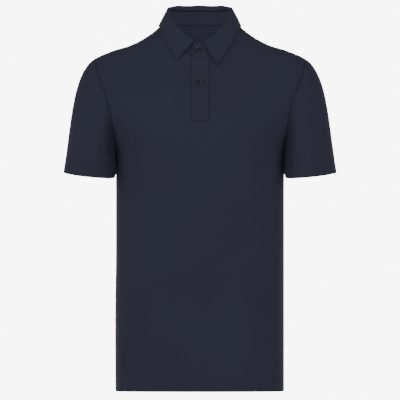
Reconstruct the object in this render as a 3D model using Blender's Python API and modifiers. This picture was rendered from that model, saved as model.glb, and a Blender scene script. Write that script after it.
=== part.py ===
"""Short-sleeved polo shirt, filled out as on its wearer and hollow all through.

Metres, +Z up. The front faces -Y and the wearer's left is +X. The origin lies midway between
the two points where the shoulder seams meet the neck seam, which is where the wearer's
shoulders carry the shirt.
"""

import math

import bmesh
import bpy
import numpy as np
from mathutils import Vector

# Body of the shirt.
BODY_LENGTH = 0.7377  # shoulder point at the neck down to the hem
UNDERARM_DROP = 0.262
SHOULDER_HALF = 0.2125  # centre line to the armhole seam, on the shoulder seam
CLOTH = 0.0011  # one layer of knitted jersey
HEM_CLOTH = 0.0020  # the turned-up hems are two layers
HEM_DEPTH = 0.026
SEAM_GAP = 0.0005  # between outer faces, which leaves about 0.3 mm between the walls

# The shoulder line as seen from the front: across, and above the origin. Inside the neck it
# is only a guide. Its first row mirrors the third, so that the line is level at the middle.
ACROSS, ABOVE = range(2)
SHOULDER_LINE = np.array(
    [
        (-0.040, 0.0170),
        (0.000, 0.0290),
        (0.040, 0.0170),
        (0.070, 0.0000),
        (0.098, -0.0228),
        (0.135, -0.0440),
        (0.175, -0.0569),
        (0.2125, -0.0738),
        (0.240, -0.0940),
    ]
)

# Level sections of the body. The climb runs from the underarm: straight down to the hem below
# it, and over the shoulder to the ridge above it, where the two depths reach zero.
CLIMB, HALF_WIDTH, FRONT, BACK, SQUARENESS = range(5)
ARCH_RADIUS = 0.25
RIDGE_CLIMB = ARCH_RADIUS * math.pi / 2
HEM_CLIMB = UNDERARM_DROP - BODY_LENGTH
BODY_SECTIONS = np.array(
    [
        (HEM_CLIMB, 0.1682, 0.1130, 0.1120, 2.40),
        (-0.320, 0.1682, 0.1125, 0.1070, 2.40),
        (-0.170, 0.1682, 0.1140, 0.1010, 2.40),
        (-0.060, 0.1682, 0.1185, 0.1070, 2.40),
        (0.000, 0.1684, 0.1215, 0.1125, 2.45),
        (0.060, 0.1850, 0.1180, 0.1170, 2.80),
        (0.120, 0.2010, 0.1020, 0.1140, 3.20),
        (0.180, 0.2140, 0.0745, 0.0990, 3.60),
        (0.240, 0.2220, 0.0530, 0.0730, 4.00),
        (0.300, 0.2255, 0.0345, 0.0440, 4.00),
        (0.350, 0.2270, 0.0168, 0.0200, 4.00),
        (RIDGE_CLIMB, 0.2275, 0.0000, 0.0000, 4.00),
    ]
)

# Neck seam as seen from above, and how far the armhole cuts into the chest.
NECK_HALF = 0.0685
NECK_FRONT = 0.0745
NECK_BACK = 0.0580
ARMHOLE_SCOOP = math.radians(10)

# Rows and columns of the panels.
HEM_STEP = 0.001
HEM_ROWS = 2  # the edges of the doubled hem band
BODY_ROWS = 12  # from the hem band to the underarm
ROWS_UNDER_SLASH = 3  # from the underarm to the foot of the slash
CHEST_ROWS = {FRONT: 8, BACK: 8}  # from the underarm to the middle of the neck seam
NECK_ROWS = {FRONT: 7, BACK: 8}  # from there to the shoulder seam
PANEL_COLUMNS = 11
PLACKET_COLUMNS = 2
RIDGE_TRIM = 0.0008  # climb left off at the shoulder seam

# Placket and buttons.
PLACKET_HALF = 0.0170
PLACKET_DROP = 0.195
PLACKET_CLOTH = 0.0013
SLASH_HALF = 0.0090  # half the opening cut in the front, under the placket
SLASH_DROP = 0.189
LAYER_GAP = 0.0004
NECK_SEAM_DEPTH = 0.0022  # the placket's layers end this far short of the neck seam
BUTTON_RADIUS = 0.0052
BUTTON_THICKNESS = 0.0026
BUTTON_RIM = 0.0012
BUTTON_WELL = 0.0006
BUTTON_BEVEL = 0.0006
BUTTON_HOLE = 0.0008
BUTTON_HOLE_OFFSET = 0.0011
SHANK = 0.0005  # thread between a button and the cloth under it
COLLAR_BUTTON = (-0.004, 0.0555)  # across and below the origin
CHEST_BUTTON = (0.0, 0.121)

# Collar: a band that stands on the neck seam, and a fall that rolls over it. The turn runs
# from the centre back, in degrees. The band leans in over the neck by a share of its height.
# The outer edge of the fall lies the spread outside the neck seam, and is swept towards the
# shoulder by the sweep.
TURN, BAND, LEAN, RISE, SPREAD, SWEEP = range(6)
COLLAR_SECTIONS = np.array(
    [
        (0.0, 0.0270, 0.35, 0.0077, 0.0105, 0.0000),
        (45.0, 0.0262, 0.35, 0.0068, 0.0115, 0.0000),
        (75.0, 0.0233, 0.35, 0.0030, 0.0130, 0.0010),
        (90.0, 0.0229, 0.34, 0.0022, 0.0130, 0.0020),
        (115.0, 0.0203, 0.04, 0.0019, 0.0135, 0.0060),
        (135.0, 0.0230, 0.18, 0.0016, 0.0130, 0.0110),
        (150.0, 0.0263, 0.34, 0.0015, 0.0110, 0.0185),
        (165.0, 0.0272, 0.36, 0.0007, 0.0097, 0.0262),
        (180.0, 0.0292, 0.36, 0.0006, 0.0090, 0.0355),
    ]
)
COLLAR_CLOTH = 0.0018
BAND_LAP = 0.0012  # the band's left end passes this far outside its line, and its right inside
LAP_STARTS, LAP_ENDS = 150.0, 172.0
BAND_END = 194.0
COLLAR_GAP = 0.0010  # the band starts this far over the neck seam, and the fall over the band
ROLL_RADIUS = 0.0032
ROLL_ENDS = math.radians(8)
FALL_BOW = 0.0007
FALL_LIFT = 0.0034  # the fall's outer edge over the shirt
FALL_ENDS = (-168.5, 175.0)  # the wearer's right end and left end
COLLAR_SKEW = 0.0040  # the points sit this far to the wearer's right
SHORT_POINT = 0.0035  # the right point lies this much nearer the neck seam than the left

# Sleeve. The tangents show how the cloth leaves the armhole seam, by the turn round the sleeve
# from the shoulder to the underarm. The hem is an oval square to the sleeve's own line.
AROUND, OUTWARD, SIDEWAYS, DOWNWARD, PULL = range(5)
SLEEVE_LEAVES = np.array(
    [
        (0.00, 0.82, 0.00, 0.57, 0.23),
        (0.25, 0.72, 0.22, 0.66, 0.25),
        (0.50, 0.52, 0.24, 0.82, 0.30),
        (0.75, 0.28, 0.10, 0.95, 0.35),
        (1.00, 0.05, 0.00, 1.00, 0.45),
    ]
)
SLEEVE_HEM_CENTRE = (0.2201, 0.0040, -0.3052)
SLEEVE_HEM_HALF = 0.0536
SLEEVE_HEM_FRONT = 0.0640
SLEEVE_TILT = math.radians(5.7)
SLEEVE_FLARE = math.radians(4.2)  # the outer side splays this much more, and the inner less
SLEEVE_HEM_SAG = 0.0045  # the front of the hem hangs this much lower
SLEEVE_HEM_PULL = 0.39
SLEEVE_HEM_TURN = 0.040  # the inner side of the hem sits this far forward of the outer
SLEEVE_ROWS = 9
SLEEVE_GAP = 0.0006

# Soft folds where the sleeve pulls on the body: place across and below the origin, lean from
# upright in degrees, half length, half width and depth.
FOLD_X, FOLD_Z, FOLD_LEAN, FOLD_LENGTH, FOLD_WIDTH, FOLD_DEPTH = range(6)
FOLDS = {
    FRONT: (
        (0.150, -0.245, 28.0, 0.055, 0.013, 0.0040),
        (0.128, -0.215, 36.0, 0.050, 0.012, 0.0028),
        (0.118, -0.560, -14.0, 0.110, 0.022, 0.0030),
    ),
    BACK: (
        (0.146, -0.250, 30.0, 0.060, 0.014, 0.0042),
        (0.122, -0.205, 38.0, 0.050, 0.013, 0.0030),
        (0.085, -0.470, -10.0, 0.120, 0.026, 0.0036),
    ),
}

NAVY = (0.024, 0.027, 0.042, 1.0)
BUTTON_BLUE = (0.012, 0.013, 0.020, 1.0)
FINE = 400  # steps along a line before it is divided


def through(table, column, at):
    """A smooth curve through one column of a table, whose first column is the place."""
    knots, values = table[:, 0], table[:, column]
    slopes = np.gradient(values, knots)
    i = np.clip(np.searchsorted(knots, at, side="right") - 1, 0, len(knots) - 2)
    width = knots[i + 1] - knots[i]
    t = (at - knots[i]) / width
    rise = (2 * t**3 - 3 * t**2 + 1) * values[i] + (3 * t**2 - 2 * t**3) * values[i + 1]
    bend = (t**3 - 2 * t**2 + t) * slopes[i] + (t**3 - t**2) * slopes[i + 1]
    return rise + bend * width


def ease(value, low, high):
    """0 below low, 1 above high, and a soft step between."""
    t = np.clip((value - low) / (high - low), 0, 1)
    return t * t * (3 - 2 * t)


def unit(v):
    return v / np.linalg.norm(v, axis=-1, keepdims=True)


def lengths_along(line):
    """Distance of each point of a line from its start."""
    return np.concatenate([[0], np.cumsum(np.linalg.norm(np.diff(line, axis=0), axis=1))])


def divide(line, places):
    """Points of a line at the given distances from its start."""
    along = lengths_along(line)
    return np.stack([np.interp(places, along, line[:, k]) for k in range(3)], axis=-1)


def arch_height(x):
    """How far the shoulder line stands over the underarm."""
    return through(SHOULDER_LINE, ABOVE, np.abs(x)) + UNDERARM_DROP


def form(angle, climb, column):
    """A point of the shirt's outer face, from its angle round the body and its climb."""
    power = 2 / through(BODY_SECTIONS, SQUARENESS, climb)
    x = through(BODY_SECTIONS, HALF_WIDTH, climb) * np.sin(angle) ** power
    way = 1 if column == BACK else -1
    y = way * through(BODY_SECTIONS, column, climb) * np.abs(np.cos(angle)) ** power
    arch = arch_height(x) * np.sin(np.clip(climb, 0, None) / ARCH_RADIUS)
    z = np.where(climb > 0, arch, climb) - UNDERARM_DROP
    return np.stack(np.broadcast_arrays(x, y, z), axis=-1)


def angle_at(x, climb):
    """The angle round the body at which its section is x wide."""
    power = through(BODY_SECTIONS, SQUARENESS, climb) / 2
    share = np.clip(x / through(BODY_SECTIONS, HALF_WIDTH, climb), 0, 1)
    return np.arcsin(np.clip(share**power, 0, 1))


def climb_at(x, z):
    share = np.clip((z + UNDERARM_DROP) / arch_height(x), -1, 1)
    return np.where(share > 0, ARCH_RADIUS * np.arcsin(share), z + UNDERARM_DROP)


def climb_over(x, depth, column):
    """The climb at which the outer face lies over a place given as seen from above."""
    low = np.full(np.shape(x), 0.10)
    high = np.full(np.shape(x), RIDGE_CLIMB)
    for _ in range(40):
        climb = (low + high) / 2
        here = np.abs(form(angle_at(x, climb), climb, column)[..., 1])
        low = np.where(here > depth, climb, low)
        high = np.where(here > depth, high, climb)
    return climb


def outward(points, column, step=5e-4):
    """The outward direction of the shirt's face at some of its points."""
    x = np.clip(points[..., 0], step, None)
    climb = np.clip(climb_at(x, points[..., 2]), HEM_CLIMB, RIDGE_CLIMB - 2 * step)
    low, high = x - step, x + step
    across = form(angle_at(high, climb), climb, column)
    across = across - form(angle_at(low, climb), climb, column)
    angle = angle_at(x, climb)
    up = form(angle, climb + step, column) - form(angle, climb - step, column)
    out = np.cross(across, up) if column == FRONT else np.cross(up, across)
    return unit(out)


def armhole_seam(column):
    """(angle, climb) at even steps along the armhole seam, from underarm to shoulder."""
    turn = np.linspace(0, math.pi / 2, FINE)
    climb = RIDGE_CLIMB * (1 - np.cos(turn))
    top = angle_at(SHOULDER_HALF, np.array(RIDGE_CLIMB))
    angle = math.pi / 2 - (math.pi / 2 - top) * np.sin(turn)
    angle = angle - ARMHOLE_SCOOP * np.sin(2 * turn) ** 2
    along = lengths_along(form(angle, climb, column))
    rows = CHEST_ROWS[column] + NECK_ROWS[column]
    places = np.linspace(0, along[-1], rows + 1)
    return np.interp(places, along, angle), np.interp(places, along, climb)


def over_shirt(x, y):
    """The point of the shirt's face over a place given as seen from above."""
    column = BACK if y > 0 else FRONT
    climb = climb_over(np.array(abs(x)), abs(y), column)
    point = form(angle_at(np.array(abs(x)), climb), climb, column)
    return np.array([x, y, point[2]])


def neck_seam(turn):
    """A point of the neck seam and the level direction away from the neck there. The turn
    runs from the centre back."""
    depth = NECK_BACK if math.cos(turn) > 0 else NECK_FRONT
    point = over_shirt(NECK_HALF * math.sin(turn), depth * math.cos(turn))
    away = np.array([math.sin(turn) / NECK_HALF, math.cos(turn) / depth, 0.0])
    return point, unit(away)


def fold_depth(points, column):
    """How far the soft folds push the face in at each point."""
    depth = np.zeros(points.shape[:-1])
    for fold in FOLDS[column]:
        lean = math.radians(fold[FOLD_LEAN])
        x = points[..., 0] - fold[FOLD_X]
        z = points[..., 2] - fold[FOLD_Z]
        across = x * math.cos(lean) - z * math.sin(lean)
        along = x * math.sin(lean) + z * math.cos(lean)
        hollow = np.exp(-((across / fold[FOLD_WIDTH]) ** 2) - (along / fold[FOLD_LENGTH]) ** 2)
        depth += fold[FOLD_DEPTH] * hollow
    return depth


def panel_row(inner, outer, column, middle=()):
    """One row of a panel, from one (angle, climb) out to another. The middle gives how far
    across its first points are, as seen from the front."""
    s = np.sin(np.linspace(0, math.pi / 2, FINE)) ** 2
    angle = inner[0] + (outer[0] - inner[0]) * s
    climb = inner[1] + (outer[1] - inner[1]) * s
    line = form(angle, climb, column)
    along = lengths_along(line)
    first = [float(np.interp(x, line[:, 0], along)) for x in middle]
    start = first[-1] if first else 0.0
    even = np.linspace(0, 1, PANEL_COLUMNS + 1 - (PLACKET_COLUMNS if column == FRONT else 0))
    share = 0.3 * even + 0.7 * np.sin(even * math.pi / 2)
    return divide(line, [*first[:-1], *(start + (along[-1] - SEAM_GAP / 2 - start) * share)])


def chest_climbs(column):
    """Where the rows between underarm and neck seam cross the middle of the panel."""
    depth = NECK_FRONT if column == FRONT else NECK_BACK
    neck = float(climb_over(np.array(0.0), depth, column))
    rows = CHEST_ROWS[column]
    if column == BACK:
        return np.linspace(0, neck, rows + 1)[:-1]
    foot = float(climb_at(0.0, -PLACKET_DROP))
    slash = float(climb_at(0.0, -SLASH_DROP))
    under = np.linspace(0, foot, ROWS_UNDER_SLASH)
    return np.concatenate([under, np.linspace(slash, neck, rows - ROWS_UNDER_SLASH + 1)[:-1]])


def half_panel(column):
    """The wearer's left half of the front or back: rows of points from hem to shoulder."""
    middle = (0.0, SLASH_HALF, PLACKET_HALF) if column == FRONT else ()
    depth = NECK_FRONT if column == FRONT else NECK_BACK
    seam = list(zip(*armhole_seam(column)))
    hem_top = HEM_CLIMB + HEM_DEPTH
    level = np.linspace(hem_top + HEM_STEP, 0, BODY_ROWS + 1)[:-1]
    rows = []
    for climb in (HEM_CLIMB, hem_top, *level):
        rows.append(panel_row((0, climb), (math.pi / 2, climb), column, middle))
    for place, climb in enumerate(chest_climbs(column)):
        rows.append(panel_row((0, climb), seam[place], column, middle))
    first_turn = math.asin(middle[-1] / NECK_HALF) if middle else 0.0
    turns = np.linspace(first_turn, math.pi / 2, NECK_ROWS[column] + 1)
    over_placket = [neck_seam(math.pi - math.asin(x / NECK_HALF))[0] for x in middle[:-1]]
    for place, turn in enumerate(turns, CHEST_ROWS[column]):
        x = np.array(NECK_HALF * math.sin(turn))
        climb = climb_over(x, depth * math.cos(turn), column)
        climb = np.minimum(climb, RIDGE_CLIMB - RIDGE_TRIM)
        outer = (seam[place][0], min(seam[place][1], RIDGE_CLIMB - RIDGE_TRIM))
        rows.append([*over_placket, *panel_row((angle_at(x, climb), climb), outer, column)])
    rows = np.array(rows)
    return rows - outward(rows, column) * fold_depth(rows, column)[..., None]


def sheet(name, rows, cloth, flip=False, closed=False, skip=None, mirror=False, hem_rows=0):
    """A piece of cloth: its outer face as rows of points, thickened inwards."""
    bm = bmesh.new()
    grid = [[bm.verts.new(point) for point in row] for row in rows]
    count = len(rows[0])
    for i in range(len(grid) - 1):
        for j in range(count if closed else count - 1):
            if skip and skip(i, j):
                continue
            k = (j + 1) % count
            corners = [grid[i][j], grid[i][k], grid[i + 1][k], grid[i + 1][j]]
            bm.faces.new(corners[::-1] if flip else corners)
    bm.verts.index_update()
    hem = {vert.index for row in grid[:hem_rows] for vert in row}
    layers = bm.verts.layers.deform.verify()
    for vert in bm.verts:
        vert[layers][0] = 1.0 if vert.index in hem else cloth / max(cloth, HEM_CLOTH)
    bmesh.ops.delete(bm, geom=[v for v in bm.verts if not v.link_faces], context="VERTS")
    mesh = bpy.data.meshes.new(name)
    bm.to_mesh(mesh)
    bm.free()
    mesh.shade_smooth()
    obj = add_piece(name, mesh, NAVY, 0.9)
    obj.vertex_groups.new(name="layers")
    if mirror:
        halves = obj.modifiers.new("Halves", "MIRROR")
        halves.merge_threshold = 0.0001
    wall = obj.modifiers.new("Wall", "SOLIDIFY")
    wall.thickness = cloth
    wall.offset = -1
    if hem_rows:
        wall.thickness = HEM_CLOTH
        wall.vertex_group = "layers"


def add_piece(name, mesh, colour, roughness):
    material = bpy.data.materials.new(name + " finish")
    material.use_nodes = True
    shader = material.node_tree.nodes["Principled BSDF"]
    shader.inputs["Base Color"].default_value = colour
    shader.inputs["Roughness"].default_value = roughness
    mesh.materials.append(material)
    obj = bpy.data.objects.new(name, mesh)
    SHIRT.objects.link(obj)
    return obj


def body_panels():
    """Front and back, cut open at the neck, and the front slashed for the placket."""
    front, back = half_panel(FRONT), half_panel(BACK)
    underarm = HEM_ROWS + BODY_ROWS
    neck_row = underarm + CHEST_ROWS[FRONT]
    slash_row = underarm + ROWS_UNDER_SLASH

    def opening(i, j):
        return (slash_row <= i and j < 1) or (neck_row <= i and j < PLACKET_COLUMNS)

    sheet("front", front, CLOTH, skip=opening, mirror=True, hem_rows=HEM_ROWS)
    sheet("back", back, CLOTH, flip=True, mirror=True, hem_rows=HEM_ROWS)
    return front[slash_row - 1 : neck_row + 1, : PLACKET_COLUMNS + 1]


def placket(points):
    """Two bands along the slash, one over the front and one under it."""
    points = points.copy()
    down = points[-2] - points[-1]
    points[-1] += unit(down) * NECK_SEAM_DEPTH
    out = outward(points, FRONT)
    over = LAYER_GAP + PLACKET_CLOTH
    sheet("placket_top", points + out * over, PLACKET_CLOTH, mirror=True)
    under = CLOTH + LAYER_GAP
    sheet("placket_under", points - out * under, PLACKET_CLOTH, mirror=True)


def sleeve_rings():
    """The wearer's left sleeve: rings of points from the armhole seam to the hem."""
    front = form(*armhole_seam(FRONT), FRONT)
    back = form(*armhole_seam(BACK), BACK)
    ring = np.concatenate([front[::-1], back[1:-1]])
    around = np.concatenate([np.linspace(0, 1, len(front)), np.linspace(1, 0, len(back))[1:-1]])
    side = np.concatenate([-np.ones(len(front)), np.ones(len(back) - 2)])
    leave = np.stack(
        [
            through(SLEEVE_LEAVES, OUTWARD, around),
            side * through(SLEEVE_LEAVES, SIDEWAYS, around),
            -through(SLEEVE_LEAVES, DOWNWARD, around),
        ],
        axis=-1,
    )
    leave = unit(leave)
    start = ring + leave * SLEEVE_GAP
    turn = around * math.pi
    across = np.array([math.cos(SLEEVE_TILT), 0, math.sin(SLEEVE_TILT)])
    end = np.array(SLEEVE_HEM_CENTRE) + np.outer(np.cos(turn) * SLEEVE_HEM_HALF, across)
    end[:, 1] += side * np.sin(turn) * SLEEVE_HEM_FRONT
    end[:, 1] -= (1 - np.cos(turn)) / 2 * SLEEVE_HEM_TURN
    end[:, 2] -= np.where(side < 0, 1, 0) * np.sin(turn) * SLEEVE_HEM_SAG
    splay = SLEEVE_TILT + SLEEVE_FLARE * np.cos(turn)
    arrive = np.stack([np.sin(splay), 0 * splay, -np.cos(splay)], axis=-1)
    pull = through(SLEEVE_LEAVES, PULL, around)
    lines = []
    for a, b, heading, finish, strength in zip(start, end, leave, arrive, pull):
        reach = np.linalg.norm(b - a)
        c = a + heading * reach * strength
        d = b - finish * reach * SLEEVE_HEM_PULL
        t = np.linspace(0, 1, FINE)[:, None]
        line = a * (1 - t) ** 3 + 3 * c * t * (1 - t) ** 2 + 3 * d * t * t * (1 - t) + b * t**3
        length = lengths_along(line)[-1]
        places = np.linspace(0, length - HEM_DEPTH - HEM_STEP, SLEEVE_ROWS)
        lines.append(divide(line, [*places, length - HEM_DEPTH, length]))
    return np.array(lines).transpose(1, 0, 2)[::-1]


def sleeves():
    rings = sleeve_rings()
    sheet("sleeve_left", rings, CLOTH, flip=True, closed=True, hem_rows=HEM_ROWS)
    sheet("sleeve_right", rings * (-1, 1, 1), CLOTH, closed=True, hem_rows=HEM_ROWS)


def collar_value(column, turn_degrees):
    turn = 180 - abs(180 - abs(turn_degrees))  # past the front it runs back again
    return float(through(COLLAR_SECTIONS, column, np.array(turn)))


def collar_frame(turn_degrees):
    """Foot of the band, its outward direction and its slanting upward one."""
    foot, away = neck_seam(math.radians(turn_degrees))
    up = np.array([0, 0, 1.0]) - away * collar_value(LEAN, turn_degrees)
    return foot + (0, 0, COLLAR_GAP), away, up


def collar_turns(first, last):
    """The turns of the panels' own points on the neck seam, with two ends."""
    side = 180 - math.degrees(math.asin(PLACKET_HALF / NECK_HALF))
    back = np.linspace(0, 90, NECK_ROWS[BACK] + 1)
    front = np.linspace(90, side, NECK_ROWS[FRONT] + 1)[1:]
    half = np.array([*back, *front, *np.linspace(side, BAND_END, 5)[1:]])
    turns = np.concatenate([-half[:0:-1], half])
    inside = turns[(turns > first + 2) & (turns < last - 2)]
    return np.array([first, *inside, last])


def collar_stand():
    rows = []
    for turn in collar_turns(-BAND_END, BAND_END):
        foot, away, up = collar_frame(turn)
        lap = BAND_LAP * math.copysign(ease(abs(turn), LAP_STARTS, LAP_ENDS), turn)
        foot = foot + away * lap
        height = collar_value(BAND, turn)
        rows.append([foot + up * height * share for share in (0, 0.5, 1)])
    sheet("collar_stand", np.array(rows).transpose(1, 0, 2), COLLAR_CLOTH, flip=True)


def collar_fall():
    rows = []
    for turn in collar_turns(*FALL_ENDS):
        foot, away, up = collar_frame(turn)
        leg_start = foot + up * collar_value(BAND, turn) - away * COLLAR_CLOTH
        leg_start = leg_start + (0, 0, COLLAR_GAP)
        leg_end = leg_start + up * collar_value(RISE, turn)
        centre = leg_end + away * ROLL_RADIUS
        section = [leg_start]
        for angle in np.linspace(math.pi, ROLL_ENDS, 6):
            section.append(centre + ROLL_RADIUS * (away * math.cos(angle) + (0, 0, math.sin(angle))))
        side = math.copysign(1, turn)
        front = ease(abs(turn), 100, 165)
        backward = side * np.array([-away[1], away[0], 0])
        spread = collar_value(SPREAD, turn) - (SHORT_POINT * front if side < 0 else 0)
        plan = foot + away * spread + backward * collar_value(SWEEP, turn)
        plan = plan - (COLLAR_SKEW * front, 0, 0)
        edge = over_shirt(plan[0], plan[1])
        edge = edge + shirt_normal(edge) * FALL_LIFT
        start = section[-1]
        middle = (start + edge) / 2 + (away + (0, 0, 0.5)) * FALL_BOW
        for t in (0.33, 0.67, 1.0):
            section.append(start * (1 - t) ** 2 + 2 * middle * t * (1 - t) + edge * t * t)
        rows.append(section)
    sheet("collar_fall", np.array(rows).transpose(1, 0, 2), COLLAR_CLOTH)


def shirt_normal(point):
    """Outward direction of the shirt's face at one point of either side of it."""
    column = BACK if point[1] > 0 else FRONT
    normal = outward(np.array([abs(point[0]), point[1], point[2]]), column)
    return normal * (math.copysign(1, point[0]), 1, 1)


def button(name, place, direction):
    """A turned four-hole button with a raised rim, its back on the given place."""
    r, t = BUTTON_RADIUS, BUTTON_THICKNESS
    rim = r - BUTTON_RIM
    profile = [
        (0, t - BUTTON_WELL),
        (rim - BUTTON_WELL, t - BUTTON_WELL),
        (rim, t),
        (r - BUTTON_BEVEL, t),
        (r, t - BUTTON_BEVEL),
        (r, BUTTON_BEVEL),
        (r - 2 * BUTTON_BEVEL, 0),
        (0, 0),
    ]
    bm = bmesh.new()
    verts = [bm.verts.new((x, 0, z)) for x, z in profile]
    for a, b in zip(verts, verts[1:]):
        bm.edges.new((a, b))
    mesh = bpy.data.meshes.new(name)
    bm.to_mesh(mesh)
    bm.free()
    obj = add_piece(name, mesh, BUTTON_BLUE, 0.25)
    turned = obj.modifiers.new("Turned", "SCREW")
    turned.steps = turned.render_steps = 20
    turned.use_merge_vertices = True
    turned.merge_threshold = 0.00001
    turned.use_smooth_shade = True
    drill = bpy.data.objects.new(name + "_holes", button_holes())
    CUTTERS.objects.link(drill)
    drill.hide_render = True
    drill.display_type = "WIRE"
    holes = obj.modifiers.new("Holes", "BOOLEAN")
    holes.operation = "DIFFERENCE"
    holes.object = drill
    for item in (obj, drill):
        item.rotation_mode = "QUATERNION"
        item.rotation_quaternion = Vector(direction).to_track_quat("Z", "Y")
        item.location = place


def button_holes():
    bm = bmesh.new()
    for quarter in range(4):
        angle = math.pi / 4 + quarter * math.pi / 2
        peg = bmesh.ops.create_cone(
            bm,
            cap_ends=True,
            segments=8,
            radius1=BUTTON_HOLE,
            radius2=BUTTON_HOLE,
            depth=4 * BUTTON_THICKNESS,
        )
        across = Vector((math.cos(angle), math.sin(angle), 0)) * BUTTON_HOLE_OFFSET * math.sqrt(2)
        bmesh.ops.translate(bm, verts=peg["verts"], vec=across)
    mesh = bpy.data.meshes.new("button holes")
    bm.to_mesh(mesh)
    bm.free()
    return mesh


def buttons():
    x, drop = COLLAR_BUTTON
    foot, away, up = collar_frame(180.0)
    height = (-drop - foot[2]) / up[2]
    out = unit(away + np.array([0, 0, 1.0]) * collar_value(LEAN, 180.0))
    place = foot + up * height + away * BAND_LAP + out * SHANK
    place[0] = x
    button("button_collar", place, out)
    x, drop = CHEST_BUTTON
    climb = climb_at(0.0, -drop)
    point = form(angle_at(np.array(x), climb), climb, FRONT)
    out = shirt_normal(point)
    place = point + out * (LAYER_GAP + PLACKET_CLOTH + SHANK)
    button("button_placket", place, out)


for old in list(bpy.data.objects):
    bpy.data.objects.remove(old)
SHIRT = bpy.data.collections.new("Polo shirt")
CUTTERS = bpy.data.collections.new("Cutters")
bpy.context.scene.collection.children.link(SHIRT)
bpy.context.scene.collection.children.link(CUTTERS)
placket(body_panels())
sleeves()
collar_stand()
collar_fall()
buttons()
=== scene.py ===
"""The looks of a dark navy polo shirt, filled out as on its wearer.

Metres, +Z up. The front faces -Y and the wearer's left is +X. The sections follow the order in
which such a shirt is sewn: front, back, placket, sleeves, collar band, collar fall, buttons.
"""

import math

import bmesh
import bpy
import numpy as np
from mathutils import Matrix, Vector


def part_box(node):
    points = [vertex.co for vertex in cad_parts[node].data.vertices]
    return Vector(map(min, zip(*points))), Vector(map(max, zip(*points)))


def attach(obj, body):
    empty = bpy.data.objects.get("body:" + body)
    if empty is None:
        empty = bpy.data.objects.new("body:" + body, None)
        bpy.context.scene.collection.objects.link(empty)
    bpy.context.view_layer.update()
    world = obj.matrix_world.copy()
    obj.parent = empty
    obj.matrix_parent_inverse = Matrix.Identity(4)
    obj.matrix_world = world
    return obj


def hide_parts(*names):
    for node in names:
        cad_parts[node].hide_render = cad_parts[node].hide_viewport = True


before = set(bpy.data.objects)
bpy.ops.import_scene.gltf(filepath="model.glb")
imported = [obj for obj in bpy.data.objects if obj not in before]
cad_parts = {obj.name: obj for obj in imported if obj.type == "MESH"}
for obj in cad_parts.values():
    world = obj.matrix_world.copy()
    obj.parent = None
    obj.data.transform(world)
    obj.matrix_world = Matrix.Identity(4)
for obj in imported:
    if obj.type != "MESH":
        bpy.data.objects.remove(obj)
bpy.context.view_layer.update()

for name in ("Cube", "Light", "Camera"):
    if name in bpy.data.objects:
        bpy.data.objects.remove(bpy.data.objects[name])


# ---------------------------------------------------------------------------------------------
# Front. One panel of soft cotton piqué, cut open at the neck and slashed for the placket. Its
# edges turn in at the seams, and its hem is turned up inside and held by twin rows of stitches.

HEM_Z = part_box("front")[0][2]
SHOULDER_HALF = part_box("front")[1][0]
UNDERARM_DROP = 0.262
HEM_CLIMB = HEM_Z + UNDERARM_DROP
KNIT = 0.0009  # thickness of one layer

# The shoulder line as seen from the front: across, and above the origin.
ABOVE = 1
SHOULDER_LINE = np.array(
    [
        (-0.040, 0.0170),
        (0.000, 0.0290),
        (0.040, 0.0170),
        (0.070, 0.0000),
        (0.098, -0.0228),
        (0.135, -0.0440),
        (0.175, -0.0569),
        (0.2125, -0.0738),
        (0.240, -0.0940),
    ]
)

# Level sections of the body by their climb, which runs from the underarm: straight down to the
# hem below it, and over the shoulder to the ridge above it, where the two depths reach zero.
HALF_WIDTH, FRONT, BACK, SQUARENESS = range(1, 5)
ARCH_RADIUS = 0.25
RIDGE_CLIMB = ARCH_RADIUS * math.pi / 2
BODY_SECTIONS = np.array(
    [
        (HEM_CLIMB, 0.1682, 0.1130, 0.1120, 2.40),
        (-0.320, 0.1682, 0.1125, 0.1070, 2.40),
        (-0.170, 0.1682, 0.1140, 0.1010, 2.40),
        (-0.060, 0.1682, 0.1185, 0.1070, 2.40),
        (-0.015, 0.1684, 0.1212, 0.1112, 2.42),
        (0.000, 0.1684, 0.1215, 0.1125, 2.45),
        (0.060, 0.1850, 0.1180, 0.1170, 2.80),
        (0.120, 0.2010, 0.1020, 0.1140, 3.20),
        (0.180, 0.2140, 0.0745, 0.0990, 3.60),
        (0.240, 0.2220, 0.0530, 0.0730, 4.00),
        (0.300, 0.2255, 0.0345, 0.0440, 4.00),
        (0.350, 0.2270, 0.0168, 0.0200, 4.00),
        (RIDGE_CLIMB, 0.2275, 0.0000, 0.0000, 4.00),
    ]
)
NECK_HALF = 0.0685
NECK_DEPTH = {FRONT: 0.0745, BACK: 0.0580}
ARMHOLE_SCOOP = math.radians(10)
SLASH_HALF = 0.0090  # the slash under the placket, and the height of its foot
SLASH_Z = -0.189
PLACKET_HALF = 0.0170
SEAM_HALF_GAP = 0.00012

# The turned edge at a seam: distance short of the seam, and how far the cloth has turned in.
SHORT, TURNED = range(2)
SEAM_ROLL = np.array(
    [
        (0.0012, 0.0000),
        (0.0006, 0.0001),
        (0.0002, 0.0004),
        (0.0000, 0.0010),
        (0.0000, 0.0040),
    ]
)

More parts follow.
